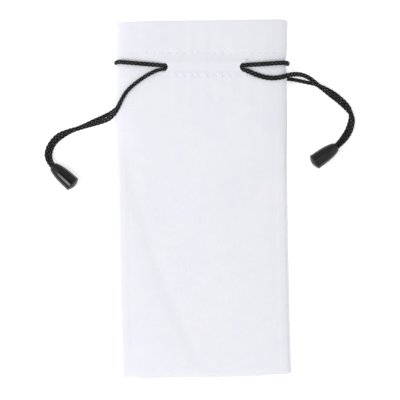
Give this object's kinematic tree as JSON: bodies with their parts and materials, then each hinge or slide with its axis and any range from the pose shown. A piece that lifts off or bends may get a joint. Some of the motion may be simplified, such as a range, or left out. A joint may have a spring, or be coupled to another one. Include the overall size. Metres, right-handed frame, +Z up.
{
  "type": "soft pouch glasses case",
  "caption": "Flat white microfibre drawstring pouch for glasses, with two black braided drawcords that close the mouth and end in black bell-shaped cord ends.",
  "frame": {"origin": "centre of the pouch's outline, on the table it lies on", "axes": "+Y along the pouch towards its mouth, +X to the right when looking at the front, +Z up through the front panel"},
  "size_m": [0.1576, 0.18, 0.0128],
  "materials": {
    "cloth": "soft brushed microfibre",
    "thread": "matt sewing thread",
    "cord": "tubular braid",
    "bell": "semi-gloss moulding"
  },
  "bodies": {
    "pouch": {"front_panel": "cloth", "back_panel": "cloth", "front_hem_facing": "cloth", "back_hem_facing": "cloth", "front_upper_stitch_row": "thread", "front_lower_stitch_row": "thread", "back_upper_stitch_row": "thread", "back_lower_stitch_row": "thread", "left_side_seam_thread": "thread", "right_side_seam_thread": "thread", "bottom_seam_thread": "thread"},
    "left_drawcord": {"left_cord_front_tail": "cord", "left_cord_back_tail": "cord", "left_cord_loop": "cord"},
    "right_drawcord": {"right_cord_front_tail": "cord", "right_cord_back_tail": "cord", "right_cord_loop": "cord"},
    "left_cord_end": {"left_bell_shell": "bell", "left_bell_plug": "bell", "left_cord_knot": "cord"},
    "right_cord_end": {"right_bell_shell": "bell", "right_bell_plug": "bell", "right_cord_knot": "cord"}
  },
  "joints": [
    {"name": "left_cord_pull", "type": "slide", "parent": "pouch", "child": "left_drawcord", "axis": [-1, 0, 0], "range_m": [0, 0.025], "deforming": ["left_cord_front_tail", "left_cord_back_tail", "left_cord_loop"]},
    {"name": "right_cord_pull", "type": "slide", "parent": "pouch", "child": "right_drawcord", "axis": [1, 0, 0], "range_m": [0, 0.025], "deforming": ["right_cord_front_tail", "right_cord_back_tail", "right_cord_loop"]},
    {"name": "left_end_swing", "type": "hinge", "parent": "left_drawcord", "child": "left_cord_end", "pos_m": [-0.0764, 0.018, 0.00308], "axis": [0, 0, 1], "range_deg": [-35, 35]},
    {"name": "right_end_swing", "type": "hinge", "parent": "right_drawcord", "child": "right_cord_end", "pos_m": [0.0675, 0.0256, 0.00308], "axis": [0, 0, 1], "range_deg": [-35, 35]}
  ]
}
